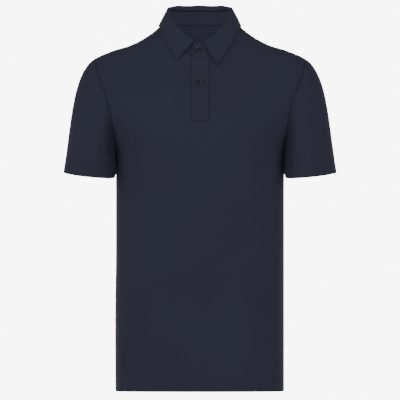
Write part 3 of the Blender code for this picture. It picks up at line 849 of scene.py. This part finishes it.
# The hem's ring: its centre, half its width and depth, its tilt, and how it is drawn down.
SLEEVE_HEM_CENTRE = (0.2201, 0.0040, -0.3052)
SLEEVE_HEM_HALF = 0.0536
SLEEVE_HEM_FRONT = 0.0640
SLEEVE_TILT = math.radians(5.7)
SLEEVE_FLARE = math.radians(4.2)  # the outer side splays this much more, and the inner less
SLEEVE_HEM_SAG = 0.0045
SLEEVE_HEM_PULL = 0.39
SLEEVE_HEM_TURN = 0.040  # the inner side of the hem sits this far forward of the outer
SLEEVE_GAP = 0.0004
SLEEVE_STEPS = 76
SLEEVE_ROWS = 46
SLEEVE_GIRTH = 0.380
SLEEVE_CALM = 0.008
CAP_PUCKER, CAP_PUCKER_REACH = 0.0004, 0.008
SLEEVE_HEM_PUCKER_REACH = 0.020
UNDER_SEAM, UNDER_SEAM_PUCKER, UNDER_SEAM_WIDTH = 0.0005, 0.0003, 0.0022
UNDER_SEAM_STARTS = (0.020, 0.040)  # below the armhole

# Folds of each sleeve on its own flat cloth: round from the underarm seam (the front is
# positive), and down from the armhole seam (negative), then as for the body.
SLEEVE_FOLDS = {
    1: np.array(
        [
            (0.002, -0.007, 0.0, 0.012, 0.014, -0.0007),
            (0.010, -0.064, 0.0, 0.010, 0.022, 0.0036),
            (0.022, -0.030, 8.0, 0.030, 0.010, -0.0018),
            (0.052, -0.042, 24.0, 0.046, 0.010, 0.0016),
            (0.070, -0.074, 38.0, 0.048, 0.012, 0.0020),
            (0.100, -0.050, 20.0, 0.045, 0.015, 0.0012),
            (-0.024, -0.034, -26.0, 0.052, 0.010, 0.0032),
            (-0.056, -0.060, -36.0, 0.056, 0.012, 0.0026),
            (-0.105, -0.085, -18.0, 0.050, 0.016, 0.0014),
            (0.150, -0.120, 8.0, 0.050, 0.018, 0.0011),
        ]
    ),
    -1: np.array(
        [
            (0.002, -0.007, 0.0, 0.012, 0.014, -0.0008),
            (0.010, -0.064, 0.0, 0.010, 0.022, 0.0034),
            (0.023, -0.032, 10.0, 0.030, 0.010, -0.0019),
            (0.050, -0.046, 27.0, 0.044, 0.010, 0.0017),
            (0.074, -0.068, 34.0, 0.046, 0.013, 0.0019),
            (0.108, -0.070, 16.0, 0.050, 0.015, 0.0013),
            (-0.026, -0.030, -22.0, 0.050, 0.010, 0.0030),
            (-0.050, -0.066, -38.0, 0.054, 0.012, 0.0026),
            (-0.120, -0.070, -20.0, 0.048, 0.016, 0.0013),
            (-0.155, -0.125, -8.0, 0.050, 0.018, 0.0012),
        ]
    ),
}


def sleeve_grid():
    """The wearer's left sleeve: its points from the armhole to the raw edge inside its hem,
    their outward directions, how far each row is turned in, and the place of each point on
    the flat cloth."""
    front = form(*armhole_seam(FRONT, SLEEVE_STEPS), FRONT)
    back = form(*armhole_seam(BACK, SLEEVE_STEPS), BACK)
    ring = np.concatenate([front, back[-2:0:-1]])
    around = np.linspace(1, 0, SLEEVE_STEPS + 1)
    around = np.concatenate([around, around[-2:0:-1]])
    side = np.where(np.arange(len(ring)) <= SLEEVE_STEPS, -1.0, 1.0)
    columns = [through(SLEEVE_LEAVES, n, around) for n in (OUTWARD, SIDEWAYS, DOWNWARD)]
    leave = unit(np.stack([columns[0], side * columns[1], -columns[2]], axis=-1))
    start = ring + leave * SLEEVE_GAP
    turn = around * math.pi
    across = np.array([math.cos(SLEEVE_TILT), 0, math.sin(SLEEVE_TILT)])
    end = np.array(SLEEVE_HEM_CENTRE) + np.outer(np.cos(turn) * SLEEVE_HEM_HALF, across)
    end[:, 1] += side * np.sin(turn) * SLEEVE_HEM_FRONT
    end[:, 1] -= (1 - np.cos(turn)) / 2 * SLEEVE_HEM_TURN
    end[:, 2] -= np.where(side < 0, 1, 0) * np.sin(turn) * SLEEVE_HEM_SAG
    splay = SLEEVE_TILT + SLEEVE_FLARE * np.cos(turn)
    arrive = np.stack([np.sin(splay), np.zeros_like(splay), -np.cos(splay)], axis=-1)
    pull = through(SLEEVE_LEAVES, PULL, around)
    reach = np.linalg.norm(end - start, axis=-1)
    bend = start + leave * (reach * pull)[:, None]
    settle_in = end - arrive * (reach * SLEEVE_HEM_PULL)[:, None]
    t = np.linspace(0, 1, FINE)[:, None]
    hem = HEM_PATH[::-1]
    rows, before, after, downs = [], [], [], []
    for a, b, c, d in zip(start, end, bend, settle_in):
        line = a * (1 - t) ** 3 + 3 * c * t * (1 - t) ** 2 + 3 * d * t * t * (1 - t) + b * t**3
        length = lengths_along(line)[-1]
        down = np.linspace(SEAM_ROLL[0, SHORT], length - hem[0, HEIGHT], SLEEVE_ROWS + 1)[:-1]
        down = np.concatenate([SEAM_ROLL[:0:-1, SHORT], down, length - hem[:, HEIGHT]])
        rows.append(divide(line, down))
        before.append(divide(line, down - SLOPE_STEP))
        after.append(divide(line, down + SLOPE_STEP))
        downs.append(down)
    rows, before, after = [np.array(r).transpose(1, 0, 2) for r in (rows, before, after)]
    along = after - before
    round_it = np.roll(rows, -1, axis=1) - np.roll(rows, 1, axis=1)
    out = unit(np.cross(round_it, along))
    middle = rows.mean(axis=1, keepdims=True)
    out *= np.sign(((rows - middle) * out).sum(axis=-1).mean())
    body_out = np.concatenate([outward(front, FRONT), outward(back[-2:0:-1], BACK)])
    rows[0] = ring - body_out * SEAM_ROLL[-1, TURNED]
    rows[1] = (ring + start) / 2 - (body_out + out[1]) / 2 * SEAM_ROLL[-2, TURNED]
    turned = np.zeros(len(rows))
    turned[2 : len(SEAM_ROLL) - 1] = SEAM_ROLL[-3:0:-1, TURNED]
    turned[-len(hem) :] = hem[:, INWARD]
    place = np.where(side < 0, 1 - around, around - 1) * SLEEVE_GIRTH / 2
    downs = np.array(downs).T
    flat = np.stack([np.broadcast_to(place, downs.shape), -downs], axis=-1)
    return rows, out, turned, flat


def make_sleeve(name, side):
    """One sleeve with its folds, its puckers and the stitches of its hem."""
    rows, out, turned, flat = sleeve_grid()
    rows, out = rows * (side, 1, 1), out * (side, 1, 1)
    u, v = flat[..., 0], flat[..., 1]
    depth = fold_depth(u, v, SLEEVE_FOLDS[side]) * ease(-v, 0.0, SLEEVE_CALM)
    cap = np.exp(v / CAP_PUCKER_REACH) * ease(-v, 0, SEAM_CLEAR)
    depth += CAP_PUCKER * wander(u, 2.0 + side) * cap
    from_hem = v - v[len(SEAM_ROLL) - 1 + SLEEVE_ROWS]
    by_hem = np.exp(-((np.abs(from_hem) / SLEEVE_HEM_PUCKER_REACH) ** 2))
    depth += HEM_PUCKER * (wander(u + 5, 4.0 + side) * by_hem)
    under_seam = np.exp(-((u / UNDER_SEAM_WIDTH) ** 2)) * ease(-v, *UNDER_SEAM_STARTS)
    depth += (UNDER_SEAM + UNDER_SEAM_PUCKER * wander(v, 1.0 + side)) * under_seam
    depth += turned[:, None]
    points = rows - out * depth[..., None]
    flat = np.where(flat[..., :1] < 0, flat + (SLEEVE_GIRTH, 0), flat)
    obj = cloth_mesh(name, [(points, flat, side > 0, True, None)], KNIT)
    obj.data.materials.append(jersey)
    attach(obj, "root")
    seams = []
    for height in HEM_STITCHES:
        row = len(points) - 1 - int(np.flatnonzero(HEM_PATH[:, HEIGHT] == height)[-1])
        closed = np.concatenate([points[row], points[row, :1]])
        seams.append(seam_line(closed, np.concatenate([out[row], out[row, :1]])))
    sew(name + "_hem_stitches", seams, navy_thread, "jersey", seed=5)
    return obj


for name, side in (("sleeve_left", 1), ("sleeve_right", -1)):
    sleeve = make_sleeve("shirt_" + name, side)
    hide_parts(name)


# ---------------------------------------------------------------------------------------------
# Collar band. A doubled strip that stands on the neck seam and laps at the front, wearer's left
# over right, edge-stitched all round.

# By the turn from the centre back in degrees: height of the band, its lean in over the neck,
# the rise of the fall's roll over it, and how far the fall's edge lies outside the neck seam
# and is swept towards the shoulder.
BAND, LEAN, RISE, SPREAD, SWEEP = range(1, 6)
COLLAR_SECTIONS = np.array(
    [
        (0.0, 0.0270, 0.35, 0.0077, 0.0105, 0.0000),
        (45.0, 0.0262, 0.35, 0.0068, 0.0115, 0.0000),
        (75.0, 0.0233, 0.35, 0.0030, 0.0130, 0.0010),
        (90.0, 0.0229, 0.34, 0.0022, 0.0130, 0.0020),
        (115.0, 0.0203, 0.04, 0.0019, 0.0135, 0.0060),
        (135.0, 0.0230, 0.18, 0.0016, 0.0130, 0.0110),
        (150.0, 0.0263, 0.34, 0.0015, 0.0110, 0.0185),
        (165.0, 0.0272, 0.36, 0.0007, 0.0097, 0.0262),
        (180.0, 0.0292, 0.36, 0.0006, 0.0090, 0.0355),
    ]
)
COLLAR_CLOTH = 0.0018
BAND_LAP = 0.0012
LAP_STARTS, LAP_ENDS = 150.0, 172.0
BAND_END = 194.0
COLLAR_GAP = 0.0006
BAND_TURNS = 200
METRES_PER_DEGREE = 0.00118  # along the neck seam


def over_shirt(x, y):
    """The point of the shirt's face over a place given as seen from above."""
    column = BACK if y > 0 else FRONT
    climb = climb_over(np.array(abs(x)), abs(y), column)
    point = form(angle_at(np.array(abs(x)), climb), climb, column)
    return np.array([x, y, point[2]])


def neck_seam(turn):
    """A point of the neck seam and the level direction away from the neck there."""
    depth = NECK_DEPTH[BACK] if math.cos(turn) > 0 else NECK_DEPTH[FRONT]
    point = over_shirt(NECK_HALF * math.sin(turn), depth * math.cos(turn))
    away = np.array([math.sin(turn) / NECK_HALF, math.cos(turn) / depth, 0.0])
    return point, unit(away)


def collar_value(column, turn_degrees):
    turn = 180 - abs(180 - abs(turn_degrees))  # past the front it runs back again
    return float(through(COLLAR_SECTIONS, column, np.array(turn)))


def collar_frame(turn_degrees):
    """Foot of the band, its outward direction and its slanting upward one."""
    foot, away = neck_seam(math.radians(turn_degrees))
    up = np.array([0, 0, 1.0]) - away * collar_value(LEAN, turn_degrees)
    return foot + (0, 0, COLLAR_GAP), away, up


def grid_normals(points, towards):
    """The directions square to a grid, on the side that some directions point to."""
    normals = unit(np.cross(np.gradient(points, axis=0), np.gradient(points, axis=1)))
    return normals * np.sign((normals * towards).sum())


def cloth_lengths(points):
    """Each point's distance from the middle along its row, and from the start across it."""
    rows = np.linalg.norm(np.diff(points, axis=1), axis=-1).mean(axis=0)
    u = np.concatenate([[0], np.cumsum(rows)])
    columns = np.linalg.norm(np.diff(points, axis=0), axis=-1)
    v = np.concatenate([np.zeros((1, points.shape[1])), np.cumsum(columns, axis=0)])
    return np.stack([np.broadcast_to(u - u[-1] / 2, v.shape), v], axis=-1)


def band_grid():
    """The band's outer face, from its foot on the neck seam to its top."""
    columns, towards = [], []
    spacing = np.array(EDGE_SPACING) / METRES_PER_DEGREE
    for turn in edged(-BAND_END, BAND_END, BAND_TURNS, spacing):
        foot, away, up = collar_frame(turn)
        lap = BAND_LAP * math.copysign(ease(abs(turn), LAP_STARTS, LAP_ENDS), turn)
        foot = foot + away * lap
        height = collar_value(BAND, turn)
        heights = edged(0.0, height, 8)
        columns.append([foot + up * h for h in heights])
        towards.append([away] * len(heights))
    points = np.array(columns).transpose(1, 0, 2)
    return points, grid_normals(points, np.array(towards).transpose(1, 0, 2))


band_points, band_out = band_grid()
collar_stand, band_face = doubled(
    "shirt_collar_stand",
    band_points,
    band_out,
    cloth_lengths(band_points),
    COLLAR_CLOTH,
    EDGE_STITCH,
    flip=True,
)
collar_stand.data.materials.append(collar_cloth)
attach(collar_stand, "root")
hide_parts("collar_stand")
band_seams = []
for row in (STITCHED, -1 - STITCHED):
    band_seams.append(seam_line(band_face[row, inside], band_out[row, inside]))
    behind = band_face[row, inside] - band_out[row, inside] * (COLLAR_CLOTH - 2 * STITCH_PRESS)
    band_seams.append(seam_line(behind, -band_out[row, inside]))
for column in (STITCHED, -1 - STITCHED):
    band_seams.append(seam_line(band_face[inside, column], band_out[inside, column]))
sew("shirt_band_stitches", band_seams, navy_thread, "collar_cloth", **TOPSTITCH)


# ---------------------------------------------------------------------------------------------
# Collar fall. The doubled leaf that is sewn to the top of the band, rolls over it and lies on
# the shirt, with a point on each side of the placket and a row of stitches inside its edge.

ROLL_RADIUS = 0.0032
ROLL_ENDS = math.radians(8)
FALL_BOW = 0.0007
FALL_LIFT = 0.0030
FALL_ENDS = (-168.5, 175.0)
COLLAR_SKEW = 0.0040
SHORT_POINT = 0.0035
FALL_STITCH = 0.0050
FALL_NEAR = (0.0, 0.0001, 0.0003, 0.0006, 0.0012)  # rows close to an edge
FALL_SPACING = (*FALL_NEAR, 0.0025, 0.0038, 0.0045, 0.0050, 0.0055, 0.0062)
FALL_TURNS = 200
FALL_ROWS = 30
LEG_LIFT = 0.0010  # the fall's seam above the top of the band
LEG_STEPS, ROLL_STEPS, LEAF_STEPS = 6, 24, 40
POINT_STARTS, POINT_FULL = 100, 165  # turns between which the points draw away
FALL_STITCH_START = 12  # rows from the fall's seam to the ends of its stitches


def shirt_normal(point):
    return outward(point, BACK if point[1] > 0 else FRONT)


def fall_section(turn):
    """The outer face of the fall at one turn: up the leg, over the roll and down to its edge."""
    foot, away, up = collar_frame(turn)
    leg_start = foot + up * collar_value(BAND, turn) - away * COLLAR_CLOTH + (0, 0, LEG_LIFT)
    leg_end = leg_start + up * collar_value(RISE, turn)
    centre = leg_end + away * ROLL_RADIUS
    line = [leg_start + (leg_end - leg_start) * s for s in np.linspace(0, 1, LEG_STEPS)]
    for angle in np.linspace(math.pi, ROLL_ENDS, ROLL_STEPS)[1:]:
        line.append(centre + ROLL_RADIUS * (away * math.cos(angle) + (0, 0, math.sin(angle))))
    side = math.copysign(1, turn)
    front = ease(abs(turn), POINT_STARTS, POINT_FULL)
    backward = side * np.array([-away[1], away[0], 0])
    spread = collar_value(SPREAD, turn) - (SHORT_POINT * front if side < 0 else 0)
    plan = foot + away * spread + backward * collar_value(SWEEP, turn)
    plan = plan - (COLLAR_SKEW * front, 0, 0)
    edge = over_shirt(plan[0], plan[1])
    edge = edge + shirt_normal(edge) * FALL_LIFT
    start = line[-1]
    middle = (start + edge) / 2 + (away + (0, 0, 0.5)) * FALL_BOW
    for t in np.linspace(0, 1, LEAF_STEPS)[1:]:
        line.append(start * (1 - t) ** 2 + 2 * middle * t * (1 - t) + edge * t * t)
    line = np.array(line)
    length = lengths_along(line)[-1]
    near = np.array(FALL_SPACING)
    seam_rows = len(FALL_NEAR)
    between = np.linspace(near[seam_rows], length - near[-1], FALL_ROWS)[:-1]
    places = np.concatenate([near[:seam_rows], between, length - near[::-1]])
    return divide(line, places)


def fall_grid():
    """The fall's outer face, from its seam on the band to its edge."""
    span = np.array(FALL_SPACING) / METRES_PER_DEGREE
    turns = edged(*FALL_ENDS, FALL_TURNS, span)
    points = np.array([fall_section(turn) for turn in turns]).transpose(1, 0, 2)
    away = np.array([neck_seam(math.radians(turn))[1] for turn in turns])
    towards = np.zeros_like(points)
    towards[-len(FALL_SPACING) :] = away
    return points, grid_normals(points, towards)


fall_points, fall_out = fall_grid()
collar_fall, fall_face = doubled(
    "shirt_collar_fall",
    fall_points,
    fall_out,
    cloth_lengths(fall_points),
    COLLAR_CLOTH,
    FALL_STITCH,
)
collar_fall.data.materials.append(collar_cloth)
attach(collar_fall, "root")
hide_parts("collar_fall")
end = FALL_SPACING.index(FALL_STITCH)
edge_row = len(fall_face) - 1 - end


def stitched_line(grid):
    """What a grid says down one side of the fall, along its edge, and up the other side."""
    down = grid[FALL_STITCH_START:edge_row, end]
    back_up = grid[FALL_STITCH_START:edge_row, -1 - end][::-1]
    return np.concatenate([down, grid[edge_row, end:-end], back_up])


fall_seams = [seam_line(stitched_line(fall_face), stitched_line(fall_out))]
sew("shirt_collar_stitches", fall_seams, navy_thread, "collar_cloth", **TOPSTITCH)


# ---------------------------------------------------------------------------------------------
# Buttons. Two turned four-hole buttons of dark polyester, one on the band and one on the chest,
# each sewn on by crossed thread.

BUTTON_PROFILE = (  # across from the axis, and up from the back
    (0.0000, 0.00195),
    (0.0023, 0.00200),
    (0.0031, 0.00215),
    (0.0036, 0.00245),
    (0.0040, 0.00260),
    (0.0044, 0.00262),
    (0.0048, 0.00245),
    (0.0051, 0.00215),
    (0.0052, 0.00170),
    (0.0051, 0.00110),
    (0.0048, 0.00055),
    (0.0041, 0.00020),
    (0.0030, 0.00005),
    (0.0000, 0.00000),
)
HOLE_RADIUS = 0.0008
HOLE_OFFSET = 0.0011
PEG_LENGTH = 0.02
BUTTON_STEPS = 72
SHANK = 0.0005
THREAD_FLOOR = 0.0019  # where the thread dips into the holes, above the button's back
THREAD_RISE = 0.0006
THREAD_CROSSING = 0.00012  # how much higher or lower the crossed strands lie
THREAD_SPREAD = 0.00022
COLLAR_BUTTON = (-0.004, -0.0555)


def polyester(name, colour):
    """Cast polyester: glossy, with a slow cloud in its shade and fine polishing marks."""
    settings = {"Specular IOR Level": 0.20, "Coat Weight": 0.30, "Coat Roughness": 0.06}
    material, nodes, links = new_material(name, settings)
    unevenness = cloud(nodes, links, 260.0, 4.0)
    paint(nodes, links, unevenness, colour, 0.6, 1.5)
    gloss = nodes.new("ShaderNodeMapRange")
    gloss.inputs["To Min"].default_value = 0.24
    gloss.inputs["To Max"].default_value = 0.38
    links.new(unevenness, gloss.inputs["Value"])
    links.new(gloss.outputs["Result"], nodes["Principled BSDF"].inputs["Roughness"])
    return material


def button_mesh(name):
    """The button's profile turned round its axis."""
    bm = bmesh.new()
    rings = []
    steps = BUTTON_STEPS
    for x, z in BUTTON_PROFILE:
        if x == 0:
            rings.append([bm.verts.new((0, 0, z))] * steps)
            continue
        turns = [2 * math.pi * n / steps for n in range(steps)]
        rings.append([bm.verts.new((x * math.cos(a), x * math.sin(a), z)) for a in turns])
    for low, high in zip(rings, rings[1:]):
        for n in range(steps):
            m = (n + 1) % steps
            corners = []
            for vert in (low[n], high[n], high[m], low[m]):
                if vert not in corners:
                    corners.append(vert)
            bm.faces.new(corners).smooth = True
    bmesh.ops.recalc_face_normals(bm, faces=bm.faces)
    mesh = bpy.data.meshes.new(name)
    bm.to_mesh(mesh)
    bm.free()
    return mesh


def hole_mesh(name):
    """Four pegs that cut the button's holes."""
    bm = bmesh.new()
    for quarter in range(4):
        angle = math.pi / 4 + quarter * math.pi / 2
        peg = bmesh.ops.create_cone(
            bm,
            cap_ends=True,
            segments=24,
            radius1=HOLE_RADIUS,
            radius2=HOLE_RADIUS,
            depth=PEG_LENGTH,
        )
        across = Vector((math.cos(angle), math.sin(angle), 0)) * HOLE_OFFSET * math.sqrt(2)
        bmesh.ops.translate(bm, verts=peg["verts"], vec=across)
    mesh = bpy.data.meshes.new(name)
    bm.to_mesh(mesh)
    bm.free()
    return mesh


def make_button(name, place, direction, spin):
    """A button with its back on a place, its holes, and its crossed thread."""
    turn = Vector(direction).to_track_quat("Z", "Y").to_matrix().to_4x4()
    turn = turn @ turn.Rotation(spin, 4, "Z")
    turn.translation = place
    obj = add_object("shirt_" + name, button_mesh(name))
    pegs = add_object(name + "_pegs", hole_mesh(name + "_pegs"))
    for item in (obj, pegs):
        item.data.transform(turn)
    holes = obj.modifiers.new("Holes", "BOOLEAN")
    holes.operation = "DIFFERENCE"
    holes.object = pegs
    settle(obj)
    bpy.data.objects.remove(pegs)
    obj.data.materials.clear()
    obj.data.materials.append(button_blue)
    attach(obj, "root")
    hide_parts(name)
    strands = []
    for n in (-1, 0, 1):
        for way in (-1, 1):
            line = []
            for s in np.linspace(-1, 1, 9):
                rise = THREAD_RISE * math.sqrt(max(0.0, 1 - s**4)) + THREAD_CROSSING * way
                spread = n * THREAD_SPREAD
                across = HOLE_OFFSET * s + spread
                along = HOLE_OFFSET * s * way - spread * way
                line.append(turn @ Vector((across, along, THREAD_FLOOR + rise)))
            line = np.array(line)
            strands.append((line, unit(np.gradient(line, axis=0))))
    strand = {"pitch": 0.0002, "length": 0.0006, "thickness": 0.00030}
    sew(name + "_thread", strands, dark_thread, "button", **strand)


button_blue = polyester("Dark polyester", (0.0055, 0.0060, 0.0110))
dark_thread = sewing_thread("Dark button thread", (0.0050, 0.0056, 0.0095))
foot, away, up = collar_frame(180.0)
height = (COLLAR_BUTTON[1] - foot[2]) / up[2]
collar_out = unit(away + np.array([0, 0, 1.0]) * collar_value(LEAN, 180.0))
collar_place = foot + up * height + away * BAND_LAP
collar_place[0] = COLLAR_BUTTON[0]
make_button("button_collar", collar_place + collar_out * SHANK, collar_out, 0.12)
make_button("button_placket", chest_face + chest_out * SHANK, chest_out, -0.08)
sew(
    "shirt_band_buttonhole_stitches",
    buttonhole(collar_place + collar_out * STITCH_LIFT, np.array([1.0, 0.0, 0.0]), collar_out),
    navy_thread,
    "collar_cloth",
    **BUTTONHOLE_STITCH,
)


# ---------------------------------------------------------------------------------------------
# Studio. A pale floor under the hanging shirt, soft even light from large panels, and a level
# camera a long way off.

FLOOR_Z = -1.50
FLOOR_HALF = 4.0


def floor_paint():
    material, nodes, links = new_material("Pale floor", {"Roughness": 0.8})
    paint(nodes, links, cloud(nodes, links, 3.0), (1.0, 1.0, 1.0), 0.80, 0.86)
    return material


corners = ((-1, -1), (1, -1), (1, 1), (-1, 1))
floor_mesh = bpy.data.meshes.new("floor")
floor_mesh.from_pydata(
    [(x * FLOOR_HALF, y * FLOOR_HALF, FLOOR_Z) for x, y in corners], [], [(0, 1, 2, 3)]
)
floor_mesh.materials.append(floor_paint())
floor = add_object("floor", floor_mesh)

world = bpy.data.worlds.new("Studio")
bpy.context.scene.world = world
world.use_nodes = True
nodes, links = world.node_tree.nodes, world.node_tree.links
dim = nodes["Background"]
dim.inputs["Color"].default_value = (1.0, 1.0, 1.0, 1.0)
dim.inputs["Strength"].default_value = 0.18  # light from all round
bright = nodes.new("ShaderNodeBackground")
bright.inputs["Color"].default_value = (1.0, 1.0, 1.0, 1.0)
bright.inputs["Strength"].default_value = 8.0  # the white sweep behind the shirt
ray = nodes.new("ShaderNodeLightPath")
either = nodes.new("ShaderNodeMixShader")
links.new(ray.outputs["Is Camera Ray"], either.inputs[0])
links.new(dim.outputs[0], either.inputs[1])
links.new(bright.outputs[0], either.inputs[2])
links.new(either.outputs[0], nodes["World Output"].inputs["Surface"])

LIGHTS = (  # place, aim, side in metres, power in watts
    ((-1.0, -5.0, 0.1), (0.0, 0.0, -0.30), 2.6, 65.0),
    ((1.0, -5.0, 0.3), (0.0, 0.0, -0.30), 2.6, 59.0),
    ((-0.5, -1.4, 2.5), (0.0, 0.0, -0.05), 1.0, 23.0),
    ((-2.4, -1.2, 0.4), (0.0, 0.0, -0.15), 1.4, 24.0),
    ((2.4, -1.2, 0.4), (0.0, 0.0, -0.15), 1.4, 24.0),
    ((-0.8, 4.0, 0.0), (0.0, 0.0, -0.35), 2.4, 60.0),
    ((1.2, 3.8, -0.2), (0.0, 0.0, -0.35), 2.2, 45.0),
    ((0.0, -0.030, -0.100), (0.0, 0.067, -0.017), 0.05, 0.122),  # fills the inside of the neck
)
for number, (place, aim, size, power) in enumerate(LIGHTS, 1):
    panel = bpy.data.lights.new(f"Soft panel {number}", "AREA")
    panel.shape = "SQUARE"
    panel.size = size
    panel.energy = power
    lamp = add_object(panel.name, panel)
    lamp.location = place
    lamp.rotation_euler = (Vector(aim) - Vector(place)).to_track_quat("-Z", "Y").to_euler()
    lamp.visible_camera = False

CAMERA_DISTANCE = 30.0
VIEW_CENTRE_Z = -0.355
VIEW_WIDTH = 0.80
SENSOR = 36.0
camera = bpy.data.cameras.new("Camera")
camera.sensor_width = SENSOR
camera.lens = SENSOR * CAMERA_DISTANCE / VIEW_WIDTH
camera.clip_end = 200.0
camera_object = add_object("Camera", camera)
camera_object.location = (0.0, -CAMERA_DISTANCE, VIEW_CENTRE_Z)
camera_object.rotation_euler = (math.pi / 2, 0.0, 0.0)
bpy.context.scene.camera = camera_object
